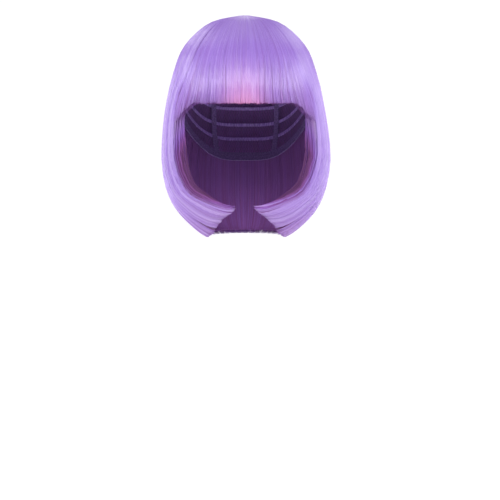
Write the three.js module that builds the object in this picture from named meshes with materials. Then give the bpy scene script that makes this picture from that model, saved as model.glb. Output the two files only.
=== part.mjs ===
// Short bob wig with bangs: a net cap that fits the head, and the hair that is sewn to it, in four
// pieces that fan out from a centre parting: the bangs, a curtain on each side, and the back.
//
// Millimetres, +Z up. The wearer looks along -Y, and the wearer's left is +X. The origin is the inside
// of the cap's crown, where the wig is worn.
import * as THREE from "three";
import { mergeVertices } from "three/addons/utils/BufferGeometryUtils.js";

// The hollow inside the cap, as the half axes of an ellipsoid whose top is the origin.
const HOLLOW = new THREE.Vector3(71, 94, 95);
const HOLLOW_CENTRE = new THREE.Vector3(0, 0, -HOLLOW.z);

// The cap: its wall, how far its edge lies below the crown at the forehead, ears and nape, how flat
// the edge stays above the ears, and its facets.
const CAP_WALL = 1.2;
const CAP_EDGE = { forehead: 58, ear: 98, nape: 146 };
const CAP_EAR_POWER = 4;
const CAP_COLUMNS = 32;
const CAP_ROWS = 8;

// The hair's top above the cap's crown, its middle behind the cap's, and the gap between hair and cap.
const CROWN_RISE = 13.5;
const SECTION_Y = 5;
const CAP_GAP = 1.2;

// Sections of the hair from the parting down to the hem, each a level oval.
// drop: depth below the hair's top. halfWidth, front, back: reach from the section's middle.
// edge: azimuth of the side curtain's front edge, in degrees from straight ahead. wall: thickness.
// lift: how far the front edge rises above the drop, as its ends sweep forward and inward.
const SECTIONS = [
  { name: "parting", drop: 5, halfWidth: 1.5, front: 16, back: 22, edge: 44, wall: 12, lift: 0 },
  { name: "crown", drop: 2.8, halfWidth: 11, front: 24, back: 29, edge: 44, wall: 14, lift: 0 },
  { name: "dome", drop: 10.5, halfWidth: 40.5, front: 51, back: 53, edge: 45, wall: 16, lift: 0 },
  { name: "upper", drop: 35, halfWidth: 66.5, front: 86, back: 87, edge: 46, wall: 17, lift: 0 },
  { name: "temple", drop: 66, halfWidth: 79, front: 104, back: 105, edge: 50, wall: 16, lift: 0 },
  { name: "brow", drop: 95.7, halfWidth: 86, front: 109, back: 112, edge: 57, wall: 16, lift: 0 },
  { name: "ear", drop: 125, halfWidth: 90, front: 101, back: 114, edge: 58, wall: 16, lift: 0 },
  { name: "full", drop: 160, halfWidth: 91.4, front: 93, back: 109, edge: 56, wall: 15, lift: 0 },
  { name: "turn", drop: 192, halfWidth: 86, front: 85, back: 102, edge: 47, wall: 13, lift: 2 },
  { name: "curl", drop: 215, halfWidth: 74, front: 77, back: 93, edge: 34, wall: 11, lift: 12 },
  { name: "under", drop: 235, halfWidth: 54, front: 72, back: 80, edge: 23, wall: 8, lift: 25 },
  { name: "hem", drop: 243, halfWidth: 42, front: 70, back: 72, edge: 13, wall: 6, lift: 33 },
];
const BROW = SECTIONS.findIndex((section) => section.name === "brow");
const HEM = SECTIONS.length - 1;

// The share of the way round from a curtain's front edge to the middle of the back at which the side
// piece ends and the back piece begins, and over which the front edge's lift fades out.
const SIDE_SHARE = 0.56;
const LIFT_SHARE = 0.4;

// Clear gaps between neighbouring pieces, as shares of the way round and as degrees at the bangs.
const SHARE_GAP = 0.004;
const BANGS_GAP_DEG = 1.2;

// The bangs' hem is level just below the brow section, over a share of its width, and falls towards
// the temples, in section steps. Their wall thins down to a share of its thickness.
const BANGS_BELOW = 0.08;
const BANGS_LEVEL = 0.6;
const BANGS_FALL = 0.6;
const BANGS_THINNING = 0.55;

// Locks: ridges along the hair, with grooves between them that deepen down to the hem, unevenly.
// tip: how far a lock's end stands past its grooves. uneven: how much the ends differ. In section steps.
const LOCKS = { bangs: 16, side: 12, back: 16 };
const LOCK_SEED = { bangs: 0, left: 20, back: 40, right: 60 };
const LOCK_COLUMNS = 3;
const GROOVE = { parting: 0.6, hem: 2, shallowest: 0.45 };
const CURTAIN = { rows: 16, tip: 0.16, uneven: 0.2 };
const BANGS = { rows: 10, tip: 0.05, uneven: 0.03 };

// The steep sine wave whose fraction gives each lock its own number, and the distance at which
// vertices count as one.
const CHANCE = { start: 4.1, step: 12.9898, scale: 43758.5453 };
const MERGE_DISTANCE = 1e-3;

const HAIR = { color: 0x9f7ddb, roughness: 0.45, metalness: 0 };
const NET = { color: 0x5b3f86, roughness: 0.85, metalness: 0 };

const { degToRad, lerp, smoothstep } = THREE.MathUtils;

// One column of the section table at a fractional row, on a smooth curve through the rows.
function column(name, row) {
  const first = Math.min(Math.floor(row), HEM - 1);
  const value = (k) => SECTIONS[THREE.MathUtils.clamp(k, 0, HEM)][name];
  const [before, from, to, after] = [-1, 0, 1, 2].map((step) => value(first + step));
  const [leave, arrive] = [(to - before) / 2, (after - from) / 2];
  const t = row - first;
  const bend = 3 * (to - from) - 2 * leave - arrive;
  const twist = 2 * (from - to) + leave + arrive;
  return from + t * (leave + t * (bend + t * twist));
}

// A repeatable number from 0 to 1 for each lock.
function chance(index) {
  const wave = CHANCE.scale * Math.sin(index * CHANCE.step + CHANCE.start);
  return wave - Math.floor(wave);
}

// The hair's outer surface at an azimuth, in radians from straight ahead, and a row of the table.
function outerPoint(azimuth, row, lift) {
  const reach = column(Math.cos(azimuth) > 0 ? "front" : "back", row);
  return new THREE.Vector3(
    column("halfWidth", row) * Math.sin(azimuth),
    SECTION_Y - reach * Math.cos(azimuth),
    CROWN_RISE - column("drop", row) + lift,
  );
}

// A point of the hair some way in from its outer surface, kept clear of the cap.
function inwardPoint(outer, depth) {
  const ray = outer.clone().sub(HOLLOW_CENTRE);
  const clear = HOLLOW.clone().addScalar(CAP_WALL + CAP_GAP);
  const capShare = 1 / ray.clone().divide(clear).length();
  const share = Math.max(capShare, 1 - depth / ray.length());
  return ray.multiplyScalar(share).add(HOLLOW_CENTRE);
}

// A closed wall between an outer and an inner grid of points: at(column, row, inside) gives a point.
// A domed wall goes all the way round, and its first row is a single point at the top.
function wallGeometry(columns, rows, at, domed = false) {
  const positions = [];
  const index = [];
  const stride = rows + 1;
  const sheet = (columns + 1) * stride;
  const vertex = (c, r, inside) => (inside ? sheet : 0) + c * stride + r;
  const quad = (a, b, c, d) => index.push(a, b, c, a, c, d);
  for (const inside of [false, true])
    for (let c = 0; c <= columns; c++)
      for (let r = 0; r <= rows; r++) positions.push(...at(c, r, inside).toArray());
  for (let c = 0; c < columns; c++) {
    for (let r = 0; r < rows; r++) {
      quad(vertex(c, r), vertex(c, r + 1), vertex(c + 1, r + 1), vertex(c + 1, r));
      quad(vertex(c, r, true), vertex(c + 1, r, true), vertex(c + 1, r + 1, true), vertex(c, r + 1, true));
    }
    quad(vertex(c + 1, rows), vertex(c, rows), vertex(c, rows, true), vertex(c + 1, rows, true));
    if (!domed) quad(vertex(c, 0), vertex(c + 1, 0), vertex(c + 1, 0, true), vertex(c, 0, true));
  }
  for (let r = 0; r < rows && !domed; r++) {
    quad(vertex(0, r + 1), vertex(0, r), vertex(0, r, true), vertex(0, r + 1, true));
    quad(vertex(columns, r), vertex(columns, r + 1), vertex(columns, r + 1, true), vertex(columns, r, true));
  }
  const geometry = new THREE.BufferGeometry();
  geometry.setAttribute("position", new THREE.Float32BufferAttribute(positions, 3));
  geometry.setIndex(index);
  return domed ? withoutEmptyFaces(mergeVertices(geometry, MERGE_DISTANCE)) : geometry;
}

// Drops the faces that merging has shrunk to a line.
function withoutEmptyFaces(geometry) {
  const corners = geometry.index.array;
  const kept = [];
  for (let i = 0; i < corners.length; i += 3) {
    const face = [corners[i], corners[i + 1], corners[i + 2]];
    if (new Set(face).size === 3) kept.push(...face);
  }
  return geometry.setIndex(kept);
}

// A hair piece with lock ridges. place(share, row) gives its azimuth, lift and wall, and endRow(share)
// its last row, where share runs from 0 to 1 across the piece.
function hairGeometry(locks, cut, seed, place, endRow) {
  const columns = locks * LOCK_COLUMNS;
  const at = (c, r, inside) => {
    const lock = Math.floor(c / LOCK_COLUMNS);
    const valley = c % LOCK_COLUMNS === 0;
    const share = c / columns;
    const trim = valley ? cut.tip + cut.uneven : cut.uneven * chance(seed + lock);
    const row = ((endRow(share) - trim) * r) / cut.rows;
    const { azimuth, lift, wall } = place(share, row);
    const outer = outerPoint(azimuth, row, lift);
    const deep = lerp(GROOVE.parting, GROOVE.hem, row / HEM);
    const groove = valley ? deep * lerp(GROOVE.shallowest, 1, chance(seed - lock)) : 0;
    return inwardPoint(outer, inside ? wall : groove);
  };
  return wallGeometry(columns, cut.rows, at);
}

// Side curtains and back: way is 0 at the left front edge, 1 at the middle of the back, 2 at the right.
function curtainGeometry(locks, seed, fromWay, toWay) {
  const place = (share, row) => {
    const way = lerp(fromWay, toWay, share);
    const round = Math.min(way, 2 - way);
    const azimuth = lerp(degToRad(column("edge", row)), Math.PI, round);
    const fade = Math.max(0, 1 - round / LIFT_SHARE);
    return {
      azimuth: way > 1 ? -azimuth : azimuth,
      lift: column("lift", row) * fade * fade,
      wall: column("wall", row),
    };
  };
  return hairGeometry(locks, CURTAIN, seed, place, () => HEM);
}

function bangsGeometry() {
  const place = (share, row) => ({
    azimuth: degToRad(column("edge", row) - BANGS_GAP_DEG) * (2 * share - 1),
    lift: 0,
    wall: column("wall", row) * lerp(1, BANGS_THINNING, row / BROW),
  });
  const endRow = (share) => {
    const fall = smoothstep(Math.abs(2 * share - 1), BANGS_LEVEL, 1);
    return BROW + BANGS_BELOW + BANGS_FALL * fall;
  };
  return hairGeometry(LOCKS.bangs, BANGS, LOCK_SEED.bangs, place, endRow);
}

// The cap: two ellipsoids a wall apart, open below an edge that dips from forehead to nape.
function capGeometry() {
  const at = (c, r, inside) => {
    const azimuth = (2 * Math.PI * (c % CAP_COLUMNS)) / CAP_COLUMNS;
    const ahead = Math.cos(azimuth);
    const end = ahead > 0 ? CAP_EDGE.forehead : CAP_EDGE.nape;
    const edge = lerp(CAP_EDGE.ear, end, 1 - Math.sin(azimuth) ** CAP_EAR_POWER);
    const lowest = Math.acos(1 - edge / HOLLOW.z);
    const polar = (lowest * r) / CAP_ROWS;
    const axes = HOLLOW.clone().addScalar(inside ? 0 : CAP_WALL);
    const ray = new THREE.Vector3(Math.sin(azimuth), -ahead, 0).multiplyScalar(Math.sin(polar));
    return ray.setZ(Math.cos(polar)).multiply(axes).add(HOLLOW_CENTRE);
  };
  return wallGeometry(CAP_COLUMNS, CAP_ROWS, at, true);
}

function piece(name, geometry, finish) {
  const mesh = new THREE.Mesh(geometry, new THREE.MeshStandardMaterial(finish));
  mesh.name = name;
  geometry.computeVertexNormals();
  return mesh;
}

const wig = new THREE.Group();
wig.name = "wig";
wig.add(
  piece("cap", capGeometry(), NET),
  piece("bangs", bangsGeometry(), HAIR),
  piece("side_left", curtainGeometry(LOCKS.side, LOCK_SEED.left, 0, SIDE_SHARE - SHARE_GAP), HAIR),
  piece("back", curtainGeometry(LOCKS.back, LOCK_SEED.back, SIDE_SHARE, 2 - SIDE_SHARE), HAIR),
  piece("side_right", curtainGeometry(LOCKS.side, LOCK_SEED.right, 2 - SIDE_SHARE + SHARE_GAP, 2), HAIR),
);

export default wig;
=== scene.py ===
"""Looks of a short bob wig with bangs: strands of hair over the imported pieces, and the net cap inside.

Metres, +Z up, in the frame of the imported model: the wearer looks along -Y, +X is the wearer's left,
and the origin is the inside of the cap's crown. Sizes are written in millimetres times MM.
"""
import math
from types import SimpleNamespace

import bpy
import numpy as np
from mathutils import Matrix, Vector


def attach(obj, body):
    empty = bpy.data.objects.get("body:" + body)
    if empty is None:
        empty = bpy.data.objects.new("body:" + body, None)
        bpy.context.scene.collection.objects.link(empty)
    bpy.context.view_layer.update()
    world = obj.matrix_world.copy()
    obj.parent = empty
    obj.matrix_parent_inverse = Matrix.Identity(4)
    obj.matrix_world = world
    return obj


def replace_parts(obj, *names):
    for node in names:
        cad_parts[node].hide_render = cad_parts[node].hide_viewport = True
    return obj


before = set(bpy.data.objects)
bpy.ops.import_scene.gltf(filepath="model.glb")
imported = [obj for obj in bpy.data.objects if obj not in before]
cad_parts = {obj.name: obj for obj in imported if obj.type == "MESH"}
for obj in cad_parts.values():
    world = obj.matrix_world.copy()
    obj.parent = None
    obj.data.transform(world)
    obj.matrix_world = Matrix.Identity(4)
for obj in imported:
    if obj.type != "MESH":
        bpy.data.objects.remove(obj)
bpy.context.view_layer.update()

MM = 0.001

# The hollow inside the cap, as the half axes of an ellipsoid whose top is the origin.
HOLLOW = np.array([71, 94, 95]) * MM
HOLLOW_CENTRE = np.array([0, 0, -HOLLOW[2]])

# The cap: its wall, the gap between it and the hair, how far its edge lies below the crown at the
# forehead, ears and nape, and how steeply it falls and rises beside the ears.
CAP_WALL = 1.2 * MM
CAP_GAP = 1.2 * MM
CAP_EDGE = {"forehead": 58 * MM, "ear": 98 * MM, "nape": 146 * MM}
CAP_EAR_POWER = 4

# The level above the cap's crown that the sections of the hair are measured down from, and how far
# their middle lies behind the cap's.
CROWN_RISE = 13.5 * MM
SECTION_Y = 5 * MM

# Sections of the hair from the parting down to the hem, in millimetres: drop below that level, half
# width, reach to the front and the back, azimuth of the side curtain's front edge in degrees, wall,
# and how far that edge is lifted. They are those of the part's source, with the parting combed shut.
SECTION_COLUMNS = ("drop", "half_width", "front", "back", "edge", "wall", "lift")
SECTIONS = {
    "parting": (3.0, 0.3, 16, 22, 44, 12, 0),
    "crown": (2.8, 11, 24, 29, 44, 14, 0),
    "dome": (10.5, 40.5, 51, 53, 45, 16, 0),
    "upper": (35, 66.5, 86, 87, 46, 17, 0),
    "temple": (66, 79, 104, 105, 50, 16, 0),
    "brow": (95.7, 86, 109, 112, 57, 16, 0),
    "ear": (125, 90, 101, 114, 58, 16, 0),
    "full": (160, 91.4, 93, 109, 56, 15, 0),
    "turn": (192, 86, 85, 102, 47, 13, 2),
    "curl": (215, 74, 77, 93, 34, 11, 12),
    "under": (235, 54, 72, 80, 23, 8, 25),
    "hem": (243, 42, 70, 72, 13, 6, 33),
}
BROW = list(SECTIONS).index("brow")
HEM = len(SECTIONS) - 1

# On the way from a curtain's front edge to the back: where the side piece ends and the back piece
# begins, where the front edge's lift has faded out, and how steeply it fades.
SIDE_SHARE = 0.56
LIFT_SHARE = 0.4
LIFT_POWER = 2

# The bangs keep this far from the side curtains, in degrees. They draw in to hang straight: how far,
# over how many rows above the brow, and how steeply that falls off towards their edges.
BANGS_GAP_DEG = 0.2
BANGS_HANG = 0.24
BANGS_HANG_ROWS = 1.5
BANGS_HANG_POWER = 3
# The bangs' hem: how far below the brow it lies, in rows, the shares of the way to the side over which
# it falls towards the temples, how far it falls, and what is left of the wall there.
BANGS_BELOW = 0.11
BANGS_LEVEL = (0.76, 1.05)
BANGS_FALL = 0.75
BANGS_THINNING = 0.55

# The curtain on the wearer's left hangs a little fuller: shares added to its half width, and the rows
# over which each sets in.
FULLER = ((0.025, 5, 7), (0.035, 8, 10))

# The side curtains thin out to their front edges where they curl under: the share of a side piece that
# this takes up, the rows over which it sets in, what is left of the wall, how far it turns the inner
# face to the front, and the share of the wall from which that turn fades out.
FEATHER_SHARE = 0.22
FEATHER_ROWS = (7.4, 8.8)
FEATHER_LEAST = 0.3
FEATHER_TURN = math.radians(38)
FEATHER_TURNED = 0.7

# The tips of the front curl level out, above the lower layer: how far they lift, the rows over which
# that comes, and the way round over which it sets in and ends.
TIP_LIFT = 5 * MM
TIP_ROWS = (9.2, 11)
TIP_START = (0, 0.12)
TIP_END = (0.18, 0.235)

# The least length by which a vector is divided.
LEAST_LENGTH = 1e-12


def mix(start, end, share):
    return start + (end - start) * share


def smoothstep(value, low, high):
    t = np.clip((value - low) / (high - low), 0, 1)
    return t * t * (3 - 2 * t)


def column(name, row):
    """One column of the section table at fractional rows, on a smooth curve through the rows."""
    values = np.array(list(SECTIONS.values()))[:, SECTION_COLUMNS.index(name)]
    first = np.clip(np.floor(row), 0, HEM - 1).astype(int)
    before, start, end, after = (values[np.clip(first + step, 0, HEM)] for step in (-1, 0, 1, 2))
    leave, arrive = (end - before) / 2, (after - start) / 2
    bend = 3 * (end - start) - 2 * leave - arrive
    twist = 2 * (start - end) + leave + arrive
    t = row - first
    value = start + t * (leave + t * (bend + t * twist))
    return np.radians(value) if name == "edge" else value * MM


def outer_points(azimuth, row, lift):
    """The hair's outer surface at an azimuth from straight ahead and a row of the table."""
    reach = np.where(np.cos(azimuth) > 0, column("front", row), column("back", row))
    fuller = sum(share * smoothstep(row, *rows) for share, *rows in FULLER)
    x = column("half_width", row) * np.sin(azimuth) * np.where(np.sin(azimuth) > 0, 1 + fuller, 1)
    y = SECTION_Y - reach * np.cos(azimuth)
    z = CROWN_RISE - column("drop", row) + lift
    return np.stack([x, y, z], axis=-1)


def inward_points(outer, depth):
    """Points some way in from the outer surface, kept clear of the cap."""
    ray = outer - HOLLOW_CENTRE
    length = np.linalg.norm(ray, axis=-1)
    cap_share = 1 / np.linalg.norm(ray / (HOLLOW + CAP_WALL + CAP_GAP), axis=-1)
    share = np.maximum(cap_share, 1 - depth / length)
    return ray * share[..., None] + HOLLOW_CENTRE


def curtain_place(from_way, to_way):
    """A function for places along a curtain. It gives the outer surface, the wall, the share of the wall
    that is left where it thins out, and how far the inner face turns to the front there.

    Way 0 is the left front edge, 1 the back and 2 the right front edge.
    """
    def place(share, row):
        way = mix(from_way, to_way, share)
        turn = np.minimum(way, 2 - way)
        azimuth = mix(column("edge", row), math.pi, turn)
        lift = column("lift", row) * np.maximum(0, 1 - turn / LIFT_SHARE) ** LIFT_POWER
        level = smoothstep(turn, *TIP_START) * (1 - smoothstep(turn, *TIP_END))
        lift = lift + TIP_LIFT * level * smoothstep(row, *TIP_ROWS)
        outer = outer_points(np.where(way > 1, -azimuth, azimuth), row, lift)
        reach = np.clip(turn / (FEATHER_SHARE * SIDE_SHARE), FEATHER_LEAST, 1)
        feather = smoothstep(row, *FEATHER_ROWS)
        thinned = mix(1, reach, feather)
        turned = FEATHER_TURN * feather * (1 - smoothstep(reach, FEATHER_TURNED, 1))
        return outer, column("wall", row), thinned, turned
    return place


def bangs_place(share, row):
    """Places along the bangs, which fan out from the parting and hang straight above the brow."""
    way = 2 * share - 1
    hang = BANGS_HANG * smoothstep(row, BROW - BANGS_HANG_ROWS, BROW)
    way = way * (1 - hang * (1 - np.abs(way) ** BANGS_HANG_POWER))
    azimuth = (column("edge", row) - math.radians(BANGS_GAP_DEG)) * way
    wall = column("wall", row) * mix(1, BANGS_THINNING, np.clip(row / BROW, 0, 1))
    return outer_points(azimuth, row, 0), wall, np.ones_like(wall), np.zeros_like(wall)


def bangs_end(share):
    """The row where the bangs end."""
    aside = np.abs(2 * share - 1)
    return BROW + BANGS_BELOW + BANGS_FALL * smoothstep(aside, *BANGS_LEVEL)


def curtain_end(share):
    """The row where a curtain ends."""
    return np.full_like(share, HEM)


# Meshes from arrays


class Pile:
    """Vertices, faces, the normals of their corners and per-vertex values, gathered into one mesh.

    A corner whose normal is zero keeps its own.
    """

    def __init__(self):
        self.vertices = []
        self.faces, self.normals, self.smooth = ({4: [], 3: []} for _ in range(3))
        self.values = {"tone": [], "along": [], "across": [], "skin_light": [], "dull": []}
        self.size = 0

    def add_points(self, points, values):
        self.vertices.append(points.reshape(-1, 3))
        for name, parts in self.values.items():
            parts.append(np.broadcast_to(values.get(name, 0), points.shape[:-1]).ravel())
        self.size += len(self.vertices[-1])
        return self.size - len(self.vertices[-1])

    def add_faces(self, start, corners, normals=0, smooth=True):
        sides = corners.shape[-1]
        self.faces[sides].append(corners.reshape(-1, sides) + start)
        self.normals[sides].append(np.broadcast_to(normals, (*corners.shape, 3)).reshape(-1, 3))
        self.smooth[sides].append(np.full(len(self.faces[sides][-1]), smooth))

    def to_object(self, name, material):
        faces = [np.concatenate(parts) for parts in self.faces.values() if parts]
        normals = np.concatenate([part for parts in self.normals.values() for part in parts])
        smooth = np.concatenate([part for parts in self.smooth.values() for part in parts])
        corners = np.concatenate([part.ravel() for part in faces])
        sizes = np.concatenate([np.full(len(part), part.shape[1]) for part in faces])
        mesh = bpy.data.meshes.new(name)
        mesh.vertices.add(self.size)
        mesh.vertices.foreach_set("co", np.concatenate(self.vertices).astype(np.float32).ravel())
        mesh.loops.add(len(corners))
        mesh.loops.foreach_set("vertex_index", corners.astype(np.int32))
        mesh.polygons.add(len(sizes))
        mesh.polygons.foreach_set("loop_start", (np.cumsum(sizes) - sizes).astype(np.int32))
        mesh.polygons.foreach_set("use_smooth", smooth)
        mesh.update(calc_edges=True)
        mesh.normals_split_custom_set(normals.tolist())
        for key, parts in self.values.items():
            attribute = mesh.attributes.new(key, "FLOAT", "POINT")
            attribute.data.foreach_set("value", np.concatenate(parts).astype(np.float32))
        mesh.materials.append(material)
        piece = bpy.data.objects.new(name, mesh)
        bpy.context.scene.collection.objects.link(piece)
        return piece


def unit(vectors):
    return vectors / np.maximum(np.linalg.norm(vectors, axis=-1, keepdims=True), LEAST_LENGTH)


def add_strands(pile, paths, crests, widths, values, tilt=0):
    """Closed three-sided strands along paths of shape (strands, points, 3), with their crests' directions.

    The shading runs from the crest's direction to part of the way round at the strand's edges, and as
    far from the opposite direction on its back. A tilt leans it along the strand.
    """
    strands, points = paths.shape[:2]
    forward = unit(np.gradient(paths, axis=1))
    crest = unit(crests - (crests * forward).sum(-1, keepdims=True) * forward)
    side = np.cross(forward, crest)
    half = widths[..., None] / 2
    sections = np.stack([
        paths + crest * half * STRAND_RISE,
        paths - side * half - crest * half * STRAND_RISE / 2,
        paths + side * half - crest * half * STRAND_RISE / 2,
    ], axis=2)
    spread = {name: np.broadcast_to(value, (strands, points))[..., None] for name, value in values.items()}
    start = pile.add_points(sections, spread)
    at = np.arange(strands * points * 3).reshape(strands, points, 3)
    shaded = crest * np.cos(tilt) + forward * np.sin(tilt)
    ahead, aside = shaded * math.cos(STRAND_LEAN), side * math.sin(STRAND_LEAN)
    faces = [
        (0, shaded, 1, ahead - aside),
        (1, -ahead - aside, 2, aside - ahead),
        (2, ahead + aside, 0, shaded),
    ]
    for one, one_normal, other, other_normal in faces:
        near, far = at[:, :-1], at[:, 1:]
        corners = np.stack([near[..., one], far[..., one], far[..., other], near[..., other]], axis=-1)
        normals = [one_normal[:, :-1], one_normal[:, 1:], other_normal[:, 1:], other_normal[:, :-1]]
        pile.add_faces(start, corners, np.stack(normals, axis=2))
    caps = np.concatenate([at[:, 0][:, [0, 1, 2]], at[:, -1][:, [0, 2, 1]]])
    pile.add_faces(start, caps, smooth=False)


def add_wall(pile, outer, inner, values, closed=False):
    """A closed wall between two grids of points of shape (columns, rows, 3)."""
    columns, rows = outer.shape[:2]
    start = pile.add_points(np.stack([outer, inner]), values)
    skin, lining = np.arange(2 * columns * rows).reshape(2, columns, rows)
    if closed:
        skin, lining = (np.concatenate([sheet, sheet[:1]]) for sheet in (skin, lining))

    def add_sheet(sheet):
        corners = [sheet[:-1, :-1], sheet[:-1, 1:], sheet[1:, 1:], sheet[1:, :-1]]
        pile.add_faces(start, np.stack(corners, axis=-1))

    def add_rim(first, second):
        corners = np.stack([first[:-1], second[:-1], second[1:], first[1:]], axis=-1)
        pile.add_faces(start, corners, smooth=False)

    add_sheet(skin)
    add_sheet(lining[::-1])
    add_rim(skin[:, -1], lining[:, -1])
    add_rim(lining[:, 0], skin[:, 0])
    if not closed:
        add_rim(lining[-1], skin[-1])
        add_rim(skin[0], lining[0])


# Hair

# The strands: their least and greatest width, their rise as a share of the half width, how far round
# their shading turns, and the fewest steps that one has.
STRAND_WIDTH = (0.45 * MM, 0.8 * MM)
STRAND_RISE = 0.6
STRAND_LEAN = math.radians(42)
LEAST_STEPS = 5
# How unevenly strands and tufts catch the light along their length.
STRAND_TILT = math.radians(2.5)
TUFT_TILT = math.radians(4)

# Where a strand's steps go: rows, and how many steps a whole curtain's strand has spent by there.
STEP_ROWS = (0, 3.5, 8, 11)
STEPS_SPENT = (0, 13, 22, 32)

# The groups of strands in a piece. first: the row where they start, counted up from the end where it
# is negative. depth: how deep they lie, as shares of the wall. shares: the part of the piece that they
# take up. triangles: their share of the piece's. steps: pieces of a strand as long as a curtain.
# The front group is the side curtains' alone: it covers their front edges and reaches under the bangs.
GROUPS = {
    "surface": {"first": 0, "depth": (0, 0.06), "shares": (0, 1), "triangles": 0.7, "steps": 32},
    "ends": {"first": -2.6, "depth": (0.05, 0.95), "shares": (0, 1), "triangles": 0.12, "steps": 8},
    "lining": {"first": 0.6, "depth": (0.94, 1.0), "shares": (0, 1), "triangles": 0.18, "steps": 14},
    "front": {"first": 2.2, "depth": (0.08, 1.2), "shares": (-0.012, 0.03), "triangles": 0.06, "steps": 20},
}
# The hair pieces. steps: the length of their strands, as a share of a curtain's. clump: how far strands
# draw together in tufts. uneven: rows by which their ends differ. grooves: how deep the grooves between
# locks and tufts are, as a share of those of a curtain. contrast: how far strands differ at their ends.
# skin_light: how much pink skin light is painted on the middle tips. corners: 1 where the piece's lower
# corners fade into the pieces beside it. front_edge: 1 where the piece ends in a front edge that curls in
# over a lower layer. gaps: how many thin gaps it parts into.
PIECE_COLUMNS = (
    "locks", "tufts", "steps", "clump", "uneven", "grooves", "contrast", "skin_light", "corners", "front_edge",
    "gaps", "seed",
)
PIECES = {
    "bangs": (16, 46, 0.62, 0.1, 0.12, 0.45, 0.9, 0.52, 1, 0, 28, 11),
    "side_left": (12, 30, 1, 0.1, 0.2, 1, 1.9, 0, 0, 1, 0, 12),
    "side_right": (12, 30, 1, 0.1, 0.2, 1, 1.9, 0, 0, 1, 0, 13),
    "back": (16, 46, 1, 0.08, 0.08, 1, 1.7, 0, 0, 0, 0, 14),
}
TRIANGLES_PER_PIECE = 176000

# The tufts' least and greatest width, beside each other.
TUFT_WIDTHS = (0.5, 1.5)
# How far the strands dip between locks and between tufts, at the root and at the ends, how steeply the
# dips fall off across a lock and a tuft, and how late along a strand they come.
GROOVE = {"root": 0.1 * MM, "end": 1.4 * MM}
TUFT_GROOVE = {"root": 0.0 * MM, "end": 0.7 * MM}
LOCK_POWER = 4
TUFT_POWER = 3
END_POWER = 3
# How strands crowd towards the outer side of their depth, and the share of the wall below which dips
# push them outwards instead of inwards.
DEPTH_POWER = 1.3
MIDDLE_DEPTH = 0.5
# How far strands wander from their line, as a share of the piece, how far they sway together, and how
# many radians of that sway they have from end to end and from side to side.
STRAND_DRIFT = 0.0003
SWAY = 0.0025
SWAY_ALONG = 5
SWAY_ACROSS = 40
# The share of a piece, at its edges, over which its strands keep from drawing together.
EDGE_CALM = 0.05
# How far a piece reaches over the ones beside it, as a share of its width.
PIECE_OVERLAP = 0.006
# The step, as a share of the piece, over which the direction across the hair is taken.
SHARE_STEP = 0.004
# Where a strand begins to taper, as a share of its length, how thin its tip is, and where it begins to
# taper on a side's front curl.
TAPER_START = 0.93
TAPER_TIP = 0.3
FRONT_TAPER_START = 0.84
# The line between a side's front curl and the layer below it: its share of the piece, half width,
# depth, and the rows over which it opens.
LAYER_SHARE = 0.38
LAYER_HALF = 0.025
LAYER_DEPTH = 2.4 * MM
LAYER_ROWS = (8.2, 9.4)
# How few strands end early, how far a tuft's strands end together, how much more uneven the ends are
# towards a side's front edge, and the share of the piece that this fades over.
CUT_POWER = 2
TUFT_CUT = 0.35
FRONT_UNEVEN = 3
FRONT_SHARE = 0.35
# The bangs' lower corners, on the wearer's right and left: the shares of the way to the side over which
# they begin, how much more uneven their ends are, how much darker they are painted, as painted shade where
# they turn down away from the light, the shares of a strand's length where that sets in, and how far the
# corners keep clear of the gaps' and the depth's painted shade.
CORNER_SHARES = {"right": (0.6, 0.85), "left": (0.82, 1.0)}
CORNER_UNEVEN = 0.5
CORNER_SHADE = 0.03
CORNER_FADE = (0.82, 0.94)
CORNER_CLOSED = 0.65
# The lines along the bangs' edges, where they part from the sides: their share of a piece, depth, and
# how much darker they are painted at rows of the table, as painted shade in the crease.
SEAM_SHARE = 0.016
SEAM_DEPTH = 0.8 * MM
SEAM_ROWS = (1.5, 2.3, 3.2, 3.9)
SEAM_SHADE = (0, 0.18, 0.18, 0)
# The thin gaps into which the bangs part: their half width, as a share of the bangs, where along a
# strand they may begin, how far on they are open, how deep they are and how much of that the shallowest
# has, and how much darker they are painted, as painted shade inside the gaps.
GAP_HALF = 0.0045
GAP_STARTS = (0.5, 0.85)
GAP_OPENING = 0.12
GAP_DEPTH = 1.0 * MM
GAP_LEAST = 0.4
GAP_SHADE = 0.32
# How far the roots dive into the parting, and the rows that this takes.
ROOT_DIVE = 1.0 * MM
ROOT_ROWS = 0.6
# How far the shading leans away from the parting, and the rows over which that fades.
ROOT_TILT = math.radians(10)
ROOT_TILT_ROWS = (0.6, 2.4)

# Tones of the hair, from 0 the darkest to 1 the lightest: the middle one, how far strands and tufts
# differ from it, how much of that they keep at the roots, how late it grows along them, and how much of
# it the depth takes away.
MIDDLE_TONE = 0.5
TONE_SPREAD = 0.09
TUFT_TONE_SPREAD = 0.12
ROOT_CONTRAST = 0.4
CONTRAST_POWER = 1.5
DEPTH_CALM = 0.6
# Painted light and shade. How much lighter the curtains' outer strands are painted than the bangs, at rows
# of the table, for the light that the sides catch; how much darker painted shade makes the depth; and how
# much darker the line above the lower layer is painted, as the shadow in that crease.
CURTAIN_PAINTED_LIGHT_ROWS = (1, 3.5, 7, 9)
CURTAIN_PAINTED_LIGHT = (0, 0.13, 0.11, 0.02)
DEPTH_SHADE = 0.26
LAYER_SHADE = 0.25
# Painted shadow of the front curl on the layer below it: how much darker that layer is painted, and the
# shares and rows over which that sets in.
UNDER_CURL_SHADOW = 0.11
UNDER_CURL_SHADOW_SHARES = (0.26, 0.44)
UNDER_CURL_SHADOW_ROWS = (9.1, 9.9)
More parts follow.
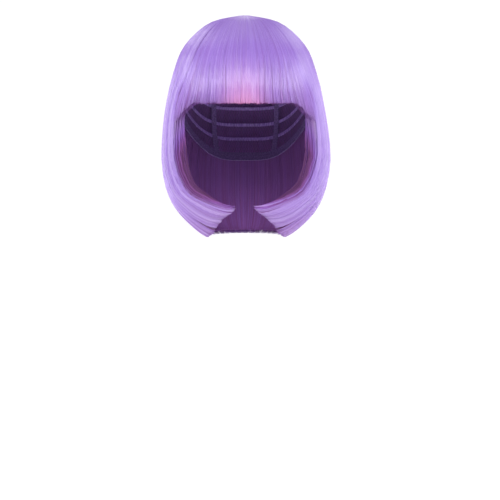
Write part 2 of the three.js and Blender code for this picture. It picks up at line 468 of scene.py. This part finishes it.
# The strands over a side's front edge, at rows of the table: how much darker they are painted, as painted
# shade where the edge lies in shadow, and where the value is below zero how much lighter, as painted light
# that lifts them out of the bangs' shadow; how much more painted shade they get deep inside; and what is
# left of the wall there. Then how far the deep ones turn from facing outwards.
RIM = {
    "row": (5.4, 6.0, 6.7, 7.5, 8.6, 9.6, 10.6),
    "tone": (-0.42, -0.34, 0.12, 0.22, 0.2, 0.02, -0.12),
    "fade": (0, 0.08, 0.24, 0.28, 0.22, 0.02, 0),
    "wall": (1, 1, 1, 1, 0.85, 0.6, 0.5),
}
RIM_TURN = math.radians(92)
# Painted shade and light on a side's other strands beside its front edge: how much darker they are painted
# at rows of the table where that hair lies in shadow, and lighter where the value is below zero; and the
# share of the piece that this fades over.
EDGE_SHADE_AND_LIGHT_ROWS = (4.2, 4.6, 5.3, 6.0, 6.8, 7.6, 8.4, 9.4, 10.4)
EDGE_SHADE_AND_LIGHT = (0, 0.36, 0.12, -0.18, -0.16, 0.12, 0.28, 0.12, 0)
EDGE_SHADE_SHARE = 0.1
# How deep hair lies where it has lost its gloss and takes the painted shade hue, as a share of the wall.
DULL_DEPTH = 0.22
# Pink skin light painted near the middle of the bangs' tips, standing in for skin seen through and
# reflected
# in them: its middle and half width, as shares of the bangs, where along a strand it starts, how late it
# grows, and how far strands differ in it.
SKIN_LIGHT_MIDDLE = 0.496
SKIN_LIGHT_SHARE = 0.27
SKIN_LIGHT_START = 0.58
SKIN_LIGHT_POWER = 2.5
SKIN_LIGHT_STREAKS = (0.72, 1.3)

# The shell under the strands: its grid, its dark tone, which is painted shade for the depth seen between
# the strands, its depth below the surface and least thickness, how many rows it ends short of the tips, how
# far it keeps from a side's front edge, and its inner face as a share of the wall. From a share of its
# length on, its two faces close in on two shares of the wall.
SHELL_ROWS = 34
SHELL_COLUMNS = 72
SHELL_SHADE_TONE = 0.2
SHELL_DEPTH = 2.0 * MM
SHELL_LEAST = 0.2 * MM
SHELL_SHORT = 0.35
SHELL_INSET = 0.025
SHELL_INNER = 0.94
SHELL_CLOSING = 0.85
SHELL_CLOSED = (0.45, 0.6)


def tuft_edges(count, rng):
    """Uneven edges that share a piece's width out between tufts."""
    widths = mix(*TUFT_WIDTHS, rng.random(count))
    return np.concatenate([[0], np.cumsum(widths) / widths.sum()])


def within(edges, share):
    """The tuft that each share falls in, its middle, and how far off the middle it is, -1 to 1."""
    tuft = np.clip(np.searchsorted(edges, share, side="right") - 1, 0, len(edges) - 2)
    middle = (edges[tuft] + edges[tuft + 1]) / 2
    half = (edges[tuft + 1] - edges[tuft]) / 2
    return tuft, middle, (share - middle) / half


def per_tuft(lay, rng):
    """A chance value for each tuft, at its strands."""
    return rng.random(lay.tufts)[lay.tuft]


def strand_triangles(steps):
    """How many triangles a three-sided strand and its two caps have."""
    return steps * 6 + 2


def corner_share(share):
    """How far a strand belongs to one of the bangs' lower corners."""
    aside = 2 * share - 1
    return smoothstep(-aside, *CORNER_SHARES["right"]) + smoothstep(aside, *CORNER_SHARES["left"])


def lock_groove(plan, share, down):
    """How far the hair dips towards the edges of its lock."""
    off = 2 * ((share * plan["locks"] + 0.5) % 1) - 1
    deepest = mix(GROOVE["root"], GROOVE["end"], down ** END_POWER)
    return plan["grooves"] * deepest * np.abs(off) ** LOCK_POWER


def tuft_groove(plan, off, down):
    """How far the hair dips towards the edges of its tuft."""
    deepest = mix(TUFT_GROOVE["root"], TUFT_GROOVE["end"], down ** END_POWER)
    return plan["grooves"] * deepest * np.abs(off) ** TUFT_POWER


def layer_groove(plan, share, row):
    """How far the hair dips into the line between the front curl and the layer below it."""
    near = 1 - smoothstep(np.abs(share - LAYER_SHARE), 0, LAYER_HALF)
    return plan["front_edge"] * LAYER_DEPTH * near * smoothstep(row, *LAYER_ROWS)


def gaps_between(plan, share, down):
    """How far the hair is parted into thin strips: 0 on a strip, up to 1 in the gaps between them."""
    rng = np.random.default_rng(plan["seed"])
    open_gap = np.zeros(np.broadcast_shapes(share.shape, down.shape))
    for middle, start, depth in rng.random((plan["gaps"], 3)):
        near = 1 - smoothstep(np.abs(share - middle), 0, GAP_HALF)
        start = mix(*GAP_STARTS, start)
        gap = mix(GAP_LEAST, 1, depth) * near * smoothstep(down, start, start + GAP_OPENING)
        open_gap = np.maximum(open_gap, gap)
    return open_gap


def seam_lines(plan, share, row):
    """How much darker the hair is painted along the lines between the bangs and the sides: painted shade in
    the crease.
    """
    inside = np.minimum(share, 1 - share) if plan["corners"] else share
    seam = (plan["corners"] + plan["front_edge"]) * (1 - smoothstep(inside, 0, SEAM_SHARE))
    return seam * np.interp(row, SEAM_ROWS, SEAM_SHADE)


def lay_out(plan, group, end_row, edges, rng):
    """Where a group's strands lie: across the piece and its tufts, in its depth, and row by row."""
    steps = max(LEAST_STEPS, round(group["steps"] * plan["steps"]))
    strands = int(TRIANGLES_PER_PIECE * group["triangles"] / strand_triangles(steps))
    rim = group["shares"][1] < 1
    ends = group["shares"] if rim else (PIECE_OVERLAP * (plan["front_edge"] - 1), 1 + PIECE_OVERLAP)
    share = mix(*ends, (np.arange(strands) + rng.random(strands)) / strands)
    deep = mix(*group["depth"], rng.random((strands, 1)) ** DEPTH_POWER)
    tuft, middle, off = (value[:, None] for value in within(edges, share))
    share = share[:, None]
    front = plan["front_edge"] * (1 - smoothstep(share, 0, FRONT_SHARE))
    corner = plan["corners"] * corner_share(share)
    lay = SimpleNamespace(
        rim=rim, ends=ends, share=share, deep=deep, inner=np.minimum(deep, 1),
        tufts=len(edges) - 1, tuft=tuft, middle=middle, off=off, front=front, corner=corner,
    )
    tuft_cut = per_tuft(lay, rng)
    cut = mix(rng.random((strands, 1)) ** CUT_POWER, tuft_cut, TUFT_CUT)
    last = end_row(share) - plan["uneven"] * (1 + FRONT_UNEVEN * front + CORNER_UNEVEN * corner) * cut
    first = group["first"] if group["first"] >= 0 else np.maximum(last + group["first"], 0)
    lay.t = np.linspace(0, 1, steps + 1)[None, :]
    spent = mix(np.interp(first, STEP_ROWS, STEPS_SPENT), np.interp(last, STEP_ROWS, STEPS_SPENT), lay.t)
    lay.row = np.interp(spent, STEPS_SPENT, STEP_ROWS)
    lay.down = np.clip(lay.row / end_row(share), 0, 1)
    return lay


def strand_tracks(plan, lay, rng):
    """The strands' lines across the piece: they draw together, wander and sway towards their ends."""
    drift = rng.normal(0, STRAND_DRIFT, lay.share.shape) * lay.down
    sway = SWAY * np.sin(lay.down * SWAY_ALONG + lay.share * SWAY_ACROSS + plan["seed"]) * lay.down
    calm = smoothstep(np.minimum(lay.share, 1 - lay.share), 0, EDGE_CALM)
    clump = plan["clump"] * lay.down ** END_POWER * calm
    return np.clip(lay.share + (lay.middle - lay.share) * clump + drift + sway, *lay.ends)


def crest_directions(place, paths, lay, turn):
    """Directions that turn from out of the hair, by way of its front edge, to into the hollow."""
    ahead, _wall, _thinned, _feather = place(lay.track + SHARE_STEP, lay.row)
    behind, _wall, _thinned, _feather = place(lay.track - SHARE_STEP, lay.row)
    across = unit(ahead - behind)
    out = np.cross(across, np.gradient(paths, axis=1))
    away = paths - HOLLOW_CENTRE
    out = unit(out) * np.sign((out * away).sum(-1, keepdims=True))
    return out * np.cos(turn)[..., None] - across * np.sin(turn)[..., None]


def strand_paths(plan, lay, place):
    """The strands' paths through the hair, and the directions of their crests."""
    outer, wall, thinned, feather = place(lay.track, lay.row)
    wall = wall * (np.interp(lay.row, RIM["row"], RIM["wall"]) if lay.rim else thinned)
    groove = lock_groove(plan, lay.share, lay.down) + tuft_groove(plan, lay.off, lay.down)
    groove = groove + lay.layer + GAP_DEPTH * lay.gap + SEAM_DEPTH * lay.seam / max(SEAM_SHADE)
    dive = ROOT_DIVE * (1 - smoothstep(lay.row, 0, ROOT_ROWS))
    depth = wall * lay.deep + groove * np.sign(MIDDLE_DEPTH - lay.deep) + dive
    paths = inward_points(outer, np.clip(depth, 0, wall * np.maximum(lay.deep, 1)))
    turn = (RIM_TURN if lay.rim else math.pi - feather) * lay.inner
    return paths, crest_directions(place, paths, lay, turn)


def strand_widths(lay, rng):
    """The strands' widths, which taper to the tips."""
    width = mix(*STRAND_WIDTH, rng.random(lay.share.shape))
    start = mix(TAPER_START, FRONT_TAPER_START, lay.front)
    return width * mix(1, TAPER_TIP, smoothstep(lay.t, start, 1))


def strand_tones(plan, lay, contrast, rng):
    """The strands' tones, from 0 the darkest to 1 the lightest: tone that differs at random, with painted
    shade in the depth, gaps, creases, corners, front edges and under the front curl, and painted light on
    the curtains' outer strands and parts of the front edges.
    """
    chance = rng.normal(0, TONE_SPREAD, lay.share.shape)
    chance = chance + TUFT_TONE_SPREAD * (per_tuft(lay, rng) - 0.5)
    # Painted light: the curtains' outer strands are painted lighter for the light that the sides catch.
    curtain_light = (1 - plan["corners"]) * np.interp(lay.row, CURTAIN_PAINTED_LIGHT_ROWS, CURTAIN_PAINTED_LIGHT)
    tone = MIDDLE_TONE + chance * contrast + curtain_light * (1 - lay.inner)
    # Painted shade: the depth, the line above the lower layer, the gaps, the bangs' corners and the seams
    # are painted darker.
    tone = tone - DEPTH_SHADE * lay.deep * (1 - CORNER_CLOSED * lay.corner)
    tone = tone - LAYER_SHADE * lay.layer / LAYER_DEPTH - GAP_SHADE * lay.gap
    tone = tone - CORNER_SHADE * lay.corner * smoothstep(lay.down, *CORNER_FADE) - lay.seam
    # Painted shade and light on the front edge's strands, by rows, and more painted shade deep inside.
    if lay.rim:
        tone = tone - np.interp(lay.row, RIM["row"], RIM["tone"])
        tone = tone - lay.deep * np.interp(lay.row, RIM["row"], RIM["fade"])
    else:
        # Painted shade and light on the other strands beside the front edge.
        edge = plan["front_edge"] * (1 - smoothstep(lay.share, 0, EDGE_SHADE_SHARE))
        tone = tone - edge * np.interp(lay.row, EDGE_SHADE_AND_LIGHT_ROWS, EDGE_SHADE_AND_LIGHT)
        # Painted shadow of the front curl on the layer below it.
        under = smoothstep(lay.share, *UNDER_CURL_SHADOW_SHARES) * smoothstep(lay.row, *UNDER_CURL_SHADOW_ROWS)
        tone = tone - UNDER_CURL_SHADOW * plan["front_edge"] * under
    return np.clip(tone, 0, 1)


def strand_skin_light(plan, lay, rng):
    """How much pink skin light is painted on the strands: most of all at their tips, in the middle of the
    bangs.
    """
    along = np.clip((lay.down - SKIN_LIGHT_START) / (1 - SKIN_LIGHT_START), 0, 1)
    skin_light = plan["skin_light"] * along ** SKIN_LIGHT_POWER
    skin_light = skin_light * (1 - smoothstep(np.abs(lay.track - SKIN_LIGHT_MIDDLE), 0, SKIN_LIGHT_SHARE))
    streak = mix(rng.random(lay.share.shape), per_tuft(lay, rng), TUFT_CUT)
    return np.clip(skin_light * mix(*SKIN_LIGHT_STREAKS, streak), 0, 1)


def strand_tilts(lay, contrast, rng):
    """How far the strands' shading leans along them: by chance, and away from the parting."""
    chance = rng.normal(0, STRAND_TILT, lay.share.shape) + TUFT_TILT * (per_tuft(lay, rng) - 0.5)
    root_tilt = ROOT_TILT * (1 - smoothstep(lay.row, *ROOT_TILT_ROWS)) * (1 - lay.inner)
    return chance * contrast + root_tilt


def add_group(pile, plan, group, place, end_row, edges, rng):
    """A group of strands, with the values that their material reads."""
    lay = lay_out(plan, group, end_row, edges, rng)
    lay.track = strand_tracks(plan, lay, rng)
    lay.layer = layer_groove(plan, lay.track, lay.row)
    lay.gap = gaps_between(plan, lay.share, lay.down) * (1 - CORNER_CLOSED * lay.corner)
    lay.seam = seam_lines(plan, lay.share, lay.row)
    paths, crests = strand_paths(plan, lay, place)
    widths = strand_widths(lay, rng)
    contrast = mix(ROOT_CONTRAST, plan["contrast"], lay.down ** CONTRAST_POWER)
    contrast = contrast * (1 - DEPTH_CALM * lay.inner)
    values = {
        "tone": strand_tones(plan, lay, contrast, rng),
        "along": lay.down,
        "across": lay.track,
        "skin_light": strand_skin_light(plan, lay, rng),
        "dull": np.minimum(lay.deep / DULL_DEPTH, 1),
    }
    add_strands(pile, paths, crests, widths, values, strand_tilts(lay, contrast, rng)[..., None])


def add_shell(pile, plan, place, end_row):
    """The solid body of hair under the strands, which ends short of their tips."""
    share = np.linspace(SHELL_INSET * plan["front_edge"], 1, SHELL_COLUMNS + 1)[:, None]
    t = np.linspace(0, 1, SHELL_ROWS + 1)[None, :]
    row = t * (end_row(share) - SHELL_SHORT)
    outer, wall, thinned, _feather = place(np.broadcast_to(share, row.shape), row)
    wall = wall * thinned
    closing = smoothstep(t, SHELL_CLOSING, 1)
    top_end, bottom_end = SHELL_CLOSED
    top = mix(SHELL_DEPTH + lock_groove(plan, share, t), wall * top_end, closing)
    bottom = mix(wall * SHELL_INNER, wall * bottom_end, closing)
    inner = inward_points(outer, np.maximum(bottom, top + SHELL_LEAST))
    # The shell's dark tone is painted shade for the depth of hair seen between the strands.
    values = {"tone": SHELL_SHADE_TONE, "along": t, "across": share, "dull": 1}
    add_wall(pile, inward_points(outer, top), inner, values)


def hair_piece(name, place, end_row, material):
    """One of the four pieces of hair: its shell and its groups of strands."""
    plan = dict(zip(PIECE_COLUMNS, PIECES[name]))
    rng = np.random.default_rng(plan["seed"])
    edges = tuft_edges(plan["tufts"], rng)
    pile = Pile()
    add_shell(pile, plan, place, end_row)
    for group_name, group in GROUPS.items():
        if group_name != "front" or plan["front_edge"]:
            add_group(pile, plan, group, place, end_row, edges, rng)
    piece = pile.to_object(name + "_hair", material)
    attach(piece, "root")
    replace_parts(piece, name)


# Cap

# How many columns a band that goes all the way round has.
CAP_COLUMNS = 128
# The net: threads of each slant, their steps and thickness, how far round they wind, and where they
# start, as a share of the way from crown to edge.
NET_THREADS = 150
NET_STEPS = 36
NET_THREAD = 0.45 * MM
NET_TURN = math.radians(75)
NET_START = 0.16
# The tracks that the hair is sewn to: their places as shares of the way, width, and points across.
TRACK_SHARES = (0.3, 0.4, 0.5, 0.6, 0.7, 0.79, 0.87)
TRACK_WIDTH = 3.2 * MM
TRACK_POINTS = 3
# The crown patch, from one share of the way to another, the band along the edge, and the elastic ribbons
# between the two.
PATCH_SHARES = (0.01, 0.2)
PATCH_POINTS = 8
BAND_WIDTH = 9 * MM
BAND_POINTS = 6
RIBBON_AZIMUTHS = (-150, -100, -50, 50, 100, 150)
RIBBON_WIDTH = 7 * MM
RIBBON_POINTS = 4
RIBBON_ROWS = 30
# Layers of the cap's wall, above its inner face.
RIBBON_LAYER = (0.05 * MM, 0.45 * MM)
TRACK_LAYER = (0.3 * MM, 1.1 * MM)
NET_LAYER = 0.8 * MM
BAND_LAYER = (0.05 * MM, 1.2 * MM)


def cap_polar(azimuth):
    """The angle from the crown to the cap's edge."""
    ahead = np.cos(azimuth)
    end = np.where(ahead > 0, CAP_EDGE["forehead"], CAP_EDGE["nape"])
    edge = mix(CAP_EDGE["ear"], end, 1 - np.sin(azimuth) ** CAP_EAR_POWER)
    return np.arccos(1 - edge / HOLLOW[2])


def cap_points(azimuth, share, above):
    """Points of the cap at a share of the way from crown to edge, above its inner face."""
    polar = cap_polar(azimuth) * share
    across, ahead = np.sin(azimuth) * np.sin(polar), np.cos(azimuth) * np.sin(polar)
    ray = np.stack([across, -ahead, np.cos(polar)], axis=-1)
    return ray * (HOLLOW + above) + HOLLOW_CENTRE


def cap_sheet(pile, azimuth, share, layer, closed):
    """A wall of the cap between two layers, over a grid of azimuths and shares."""
    azimuth, share = np.broadcast_arrays(azimuth, share)
    low, high = layer
    values = {"tone": MIDDLE_TONE, "along": share, "across": azimuth / (2 * math.pi)}
    add_wall(pile, cap_points(azimuth, share, high), cap_points(azimuth, share, low), values, closed)


def around(count):
    """Azimuths all the way round the cap."""
    return (np.arange(count) * 2 * math.pi / count)[:, None]


def band_share(azimuth, width):
    """A width along the cap, as a share of the way from crown to edge."""
    return width / (cap_polar(azimuth) * HOLLOW.mean())


def cap_object(pile, name, material):
    """One of the cap's pieces, attached to the root body."""
    piece = pile.to_object(name, material)
    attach(piece, "root")
    return piece


def cap_net(material):
    """Threads that wind both ways round the cap."""
    pile = Pile()
    share = np.linspace(NET_START, 1, NET_STEPS + 1)[None, :]
    start = around(NET_THREADS)
    for slant in (-1, 1):
        azimuth = start + slant * NET_TURN * (share - NET_START)
        paths = cap_points(azimuth, np.broadcast_to(share, azimuth.shape), NET_LAYER)
        widths = np.full(azimuth.shape, NET_THREAD)
        values = {"tone": MIDDLE_TONE, "along": share, "across": start / (2 * math.pi)}
        add_strands(pile, paths, HOLLOW_CENTRE - paths, widths, values)
    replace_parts(cap_object(pile, "cap_net", material), "cap")


def cap_tracks(material):
    """Rows of stitching that the hair hangs from."""
    pile = Pile()
    azimuth = around(CAP_COLUMNS)
    half = band_share(azimuth, TRACK_WIDTH / 2)
    for middle in TRACK_SHARES:
        share = middle + half * np.linspace(-1, 1, TRACK_POINTS)[None, :]
        cap_sheet(pile, azimuth, share, TRACK_LAYER, True)
    cap_object(pile, "cap_tracks", material)


def cap_bands(material):
    """The band along the cap's edge, the patch on its crown and the elastic ribbons between them."""
    pile = Pile()
    azimuth = around(CAP_COLUMNS)
    edge = 1 - band_share(azimuth, BAND_WIDTH) * np.linspace(1, 0, BAND_POINTS)[None, :]
    cap_sheet(pile, azimuth, edge, BAND_LAYER, True)
    cap_sheet(pile, azimuth, np.linspace(*PATCH_SHARES, PATCH_POINTS)[None, :], BAND_LAYER, True)
    share = np.linspace(PATCH_SHARES[1], 1, RIBBON_ROWS + 1)[None, :]
    for degrees in RIBBON_AZIMUTHS:
        middle = np.full_like(share, math.radians(degrees))
        half = RIBBON_WIDTH / 2 / (np.sin(cap_polar(middle) * share) * HOLLOW[:2].mean())
        ribbon = middle + half * np.linspace(-1, 1, RIBBON_POINTS)[:, None]
        cap_sheet(pile, ribbon, share, RIBBON_LAYER, False)
    cap_object(pile, "cap_bands", material)


# Materials

# The hair's colours at places on its scale of tones, whose darkest stops are painted shade colours for
# hair in the depth and in shadow; the pink of the painted skin light; and what deep, dull hair's colour is
# multiplied by, a painted shade hue.
HAIR_TONES = (
    (0.0, (0.07, 0.012, 0.088)),
    (0.12, (0.13, 0.036, 0.17)),
    (0.3, (0.15, 0.06, 0.266)),
    (0.5, (0.188, 0.103, 0.384)),
    (1.0, (0.322, 0.242, 0.465)),
)
SKIN_LIGHT_COLOR = (0.61, 0.25, 0.42)
DEEP_SHADE_TINT = (1.0, 0.76, 0.95)
# The fibres: how fine their noise is across and along the hair, what it multiplies colour and roughness
# by, and the strength and height of its bump. Then what the colour is multiplied by along a strand.
FIBRE_SCALES = (900, 7)
FIBRE_TINTS = ((0.3, (0.9, 0.88, 0.92)), (0.7, (1, 1, 1)))
FIBRE_ROUGHNESS = ((0.3, 0.9), (0.7, 1))
FIBRE_BUMP = (0.1, 0.05 * MM)
ALONG_TINTS = ((0.7, (1, 1, 1)), (1.0, (1.0, 0.94, 0.88)))
# The hair's roughness at tones and along a strand, of which the rougher counts, and that of dull hair.
TONE_ROUGHNESS = ((0.1, 0.75), (0.35, 0.3))
ALONG_ROUGHNESS = ((0.04, 0.8), (0.16, 0.3))
DULL_ROUGHNESS = 0.85
HAIR_SPECULAR = 0.56
# The cap's weaves. scales: how fine the noise is across and along. colors: at places on the noise.
# bump: its strength and height.
WEAVE_COLUMNS = ("scales", "colors", "roughness", "bump")
WEAVES = {
    "purple_net": ((400, 60), ((0.3, (0.05, 0.025, 0.10)), (0.7, (0.09, 0.05, 0.17))), 0.7, None),
    "stitched_tracks": (
        (500, 30), ((0.35, (0.12, 0.06, 0.24)), (0.65, (0.26, 0.15, 0.46))), 0.6, (0.6, 0.4 * MM),
    ),
    "elastic_bands": (
        (300, 120), ((0.35, (0.07, 0.035, 0.13)), (0.65, (0.14, 0.08, 0.25))), 0.65, (0.5, 0.3 * MM),
    ),
}


def new_material(name):
    material = bpy.data.materials.new(name)
    material.use_nodes = True
    nodes = material.node_tree.nodes
    return material, nodes, material.node_tree.links, nodes["Principled BSDF"]


def attribute(nodes, name):
    node = nodes.new("ShaderNodeAttribute")
    node.attribute_name = name
    return node.outputs["Fac"]


def grey(value):
    return (value, value, value)


def ramp(nodes, links, source, stops):
    """Colours between stops, each a place and a colour or a level of grey."""
    node = nodes.new("ShaderNodeValToRGB")
    while len(node.color_ramp.elements) < len(stops):
        node.color_ramp.elements.new(0.5)
    for element, (place, color) in zip(node.color_ramp.elements, stops):
        element.position = place
        element.color = (*(grey(color) if np.isscalar(color) else color), 1)
    links.new(source, node.inputs["Fac"])
    return node.outputs["Color"]


def stretched_noise(nodes, links, scale_across, scale_along):
    """Noise drawn out along the hair, or along the cap's threads."""
    place = nodes.new("ShaderNodeCombineXYZ")
    for name, socket, scale in (("across", "X", scale_across), ("along", "Y", scale_along)):
        scaled = nodes.new("ShaderNodeMath")
        scaled.operation = "MULTIPLY"
        scaled.inputs[1].default_value = scale
        links.new(attribute(nodes, name), scaled.inputs[0])
        links.new(scaled.outputs["Value"], place.inputs[socket])
    noise = nodes.new("ShaderNodeTexNoise")
    noise.inputs["Scale"].default_value = 1
    noise.inputs["Detail"].default_value = 2
    links.new(place.outputs["Vector"], noise.inputs["Vector"])
    return noise.outputs["Fac"]


def mix_color(nodes, links, blend, factor, first, second):
    """A blend of two colours. The factor and the colours are values or other nodes' outputs."""
    node = nodes.new("ShaderNodeMix")
    node.data_type = "RGBA"
    node.blend_type = blend
    for name, value in (("Factor", factor), ("A", first), ("B", second)):
        sockets = [socket for socket in node.inputs if socket.name == name and socket.enabled]
        if hasattr(value, "is_output"):
            links.new(value, sockets[0])
        elif name == "Factor":
            sockets[0].default_value = value
        else:
            sockets[0].default_value = (*value, 1)
    return [socket for socket in node.outputs if socket.enabled][0]


def add_bump(nodes, links, shader, height, strength, distance):
    node = nodes.new("ShaderNodeBump")
    node.inputs["Strength"].default_value = strength
    node.inputs["Distance"].default_value = distance
    links.new(height, node.inputs["Height"])
    links.new(node.outputs["Normal"], shader.inputs["Normal"])


def hair_material():
    """Glossy lavender fibre, dull where it lies deep, its tones carrying painted shade and light, with a
    painted shade hue on deep hair and painted pink skin light at the bangs' tips.
    """
    material, nodes, links, shader = new_material("lavender_hair")
    color = ramp(nodes, links, attribute(nodes, "tone"), HAIR_TONES)
    fibres = stretched_noise(nodes, links, *FIBRE_SCALES)
    streaks = ramp(nodes, links, fibres, FIBRE_TINTS)
    color = mix_color(nodes, links, "MULTIPLY", 1.0, color, streaks)
    # Painted pink skin light near the bangs' tips.
    color = mix_color(nodes, links, "MIX", attribute(nodes, "skin_light"), color, SKIN_LIGHT_COLOR)
    tips = ramp(nodes, links, attribute(nodes, "along"), ALONG_TINTS)
    color = mix_color(nodes, links, "MULTIPLY", 1.0, color, tips)
    # Painted shade hue on hair that lies deep.
    color = mix_color(nodes, links, "MULTIPLY", attribute(nodes, "dull"), color, DEEP_SHADE_TINT)
    links.new(color, shader.inputs["Base Color"])
    rough = ramp(nodes, links, attribute(nodes, "tone"), TONE_ROUGHNESS)
    roots = ramp(nodes, links, attribute(nodes, "along"), ALONG_ROUGHNESS)
    rough = mix_color(nodes, links, "LIGHTEN", 1.0, rough, roots)
    rough = mix_color(nodes, links, "MIX", attribute(nodes, "dull"), rough, grey(DULL_ROUGHNESS))
    uneven = ramp(nodes, links, fibres, FIBRE_ROUGHNESS)
    links.new(mix_color(nodes, links, "MULTIPLY", 1.0, rough, uneven), shader.inputs["Roughness"])
    add_bump(nodes, links, shader, fibres, *FIBRE_BUMP)
    shader.inputs["Specular IOR Level"].default_value = HAIR_SPECULAR
    return material


def woven_material(name):
    """One of the cap's weaves, in darker and lighter threads."""
    plan = dict(zip(WEAVE_COLUMNS, WEAVES[name]))
    material, nodes, links, shader = new_material(name)
    weave = stretched_noise(nodes, links, *plan["scales"])
    links.new(ramp(nodes, links, weave, plan["colors"]), shader.inputs["Base Color"])
    shader.inputs["Roughness"].default_value = plan["roughness"]
    if plan["bump"]:
        add_bump(nodes, links, shader, weave, *plan["bump"])
    return material


# Stage, light and camera

# The white floor, some way below the wig: its size, place, roughness, and the light that it gives off.
FLOOR_SIZE = 12
FLOOR_PLACE = (0, 2, -516 * MM)
FLOOR_ROUGHNESS = 0.9
FLOOR_GLOW = 0.5
WHITE = (1, 1, 1, 1)
# How bright the white backdrop looks, and how bright the light is that comes from it.
BACKDROP_STRENGTH = 1.05
WORLD_STRENGTH = 0.55
# The softboxes. place and target: where they stand and what they point at. size: width and height.
# power: in watts.
WIG_MIDDLE = (0, 0, -0.1)
WIG_UPPER = (0, 0, -0.05)
SOFTBOX_COLUMNS = ("place", "target", "size", "power")
SOFTBOXES = {
    "key": ((0, -1.4, 0.8), WIG_MIDDLE, (1.6, 0.6), 25),
    "left_wing": ((-1.4, -0.5, 0.5), WIG_MIDDLE, (1.6, 0.46), 19),
    "right_wing": ((1.4, -0.5, 0.5), WIG_MIDDLE, (1.6, 0.46), 18.5),
    "left_strip": ((-1.05, 0.6, -0.15), WIG_MIDDLE, (0.7, 0.7), 5.4),
    "right_strip": ((1.05, 0.6, -0.15), WIG_MIDDLE, (0.7, 0.7), 5.0),
    "backdrop": ((0, 2.4, 0.4), WIG_MIDDLE, (4.0, 3.2), 45),
    "left_hair_light": ((-0.8, 0.6, 1.0), WIG_UPPER, (0.6, 0.6), 4.2),
    "right_hair_light": ((0.8, 0.6, 1.0), WIG_UPPER, (0.6, 0.6), 3.4),
}
# The camera: how far off and how high it stands, its sensor in millimetres, the width that the picture
# covers at the wig, and the pixels of the wig's axis and of the sections' level in it.
CAMERA_DISTANCE = 2.0
CAMERA_Z = -120 * MM
SENSOR_WIDTH = 36
FIELD_WIDTH = 550 * MM
FRAME_PIXELS = 500
AXIS_PIXEL_X = 245
TOP_PIXEL_Y = 16
PIXEL = FIELD_WIDTH / FRAME_PIXELS


def make_floor():
    bpy.ops.mesh.primitive_plane_add(size=FLOOR_SIZE, location=FLOOR_PLACE)
    floor = bpy.context.object
    floor.name = "floor"
    material, _nodes, _links, shader = new_material("white_floor")
    shader.inputs["Base Color"].default_value = WHITE
    shader.inputs["Roughness"].default_value = FLOOR_ROUGHNESS
    shader.inputs["Emission Color"].default_value = WHITE
    shader.inputs["Emission Strength"].default_value = FLOOR_GLOW
    floor.data.materials.append(material)


def make_world():
    """A white studio: the backdrop is white, and what it lights by is dimmer."""
    world = bpy.data.worlds.new("white_studio")
    world.use_nodes = True
    nodes, links = world.node_tree.nodes, world.node_tree.links
    seen = nodes.new("ShaderNodeLightPath").outputs["Is Camera Ray"]
    strength = nodes.new("ShaderNodeMath")
    strength.operation = "MULTIPLY_ADD"
    strength.inputs[1].default_value = BACKDROP_STRENGTH - WORLD_STRENGTH
    strength.inputs[2].default_value = WORLD_STRENGTH
    links.new(seen, strength.inputs[0])
    links.new(strength.outputs["Value"], nodes["Background"].inputs["Strength"])
    nodes["Background"].inputs["Color"].default_value = WHITE
    bpy.context.scene.world = world


def aim(thing, place, target):
    """Puts a light or the camera at a place, facing a target."""
    thing.location = place
    thing.rotation_euler = (Vector(target) - Vector(place)).to_track_quat("-Z", "Y").to_euler()
    bpy.context.scene.collection.objects.link(thing)


def make_softbox(name):
    plan = dict(zip(SOFTBOX_COLUMNS, SOFTBOXES[name]))
    light = bpy.data.lights.new(name, "AREA")
    light.shape = "RECTANGLE"
    light.size, light.size_y = plan["size"]
    light.energy = plan["power"]
    aim(bpy.data.objects.new(name, light), plan["place"], plan["target"])


def make_camera():
    """A camera level with the wig's middle, turned so that the wig lies where the picture shows it."""
    data = bpy.data.cameras.new("camera")
    camera = bpy.data.objects.new("camera", data)
    middle_x = (FRAME_PIXELS / 2 - AXIS_PIXEL_X) * PIXEL
    middle_z = CROWN_RISE - (FRAME_PIXELS / 2 - TOP_PIXEL_Y) * PIXEL
    place = Vector((middle_x, SECTION_Y - CAMERA_DISTANCE, CAMERA_Z))
    target = Vector((middle_x, SECTION_Y, middle_z))
    aim(camera, place, target)
    data.sensor_width = SENSOR_WIDTH
    data.lens = data.sensor_width * (target - place).length / FIELD_WIDTH
    bpy.context.scene.camera = camera


hair = hair_material()
hair_piece("bangs", bangs_place, bangs_end, hair)
hair_piece("side_left", curtain_place(0, SIDE_SHARE), curtain_end, hair)
hair_piece("side_right", curtain_place(2, 2 - SIDE_SHARE), curtain_end, hair)
hair_piece("back", curtain_place(SIDE_SHARE, 2 - SIDE_SHARE), curtain_end, hair)
cap_net(woven_material("purple_net"))
cap_tracks(woven_material("stitched_tracks"))
cap_bands(woven_material("elastic_bands"))

make_floor()
make_world()
for softbox in SOFTBOXES:
    make_softbox(softbox)
make_camera()
bpy.context.scene.view_settings.view_transform = "Standard"
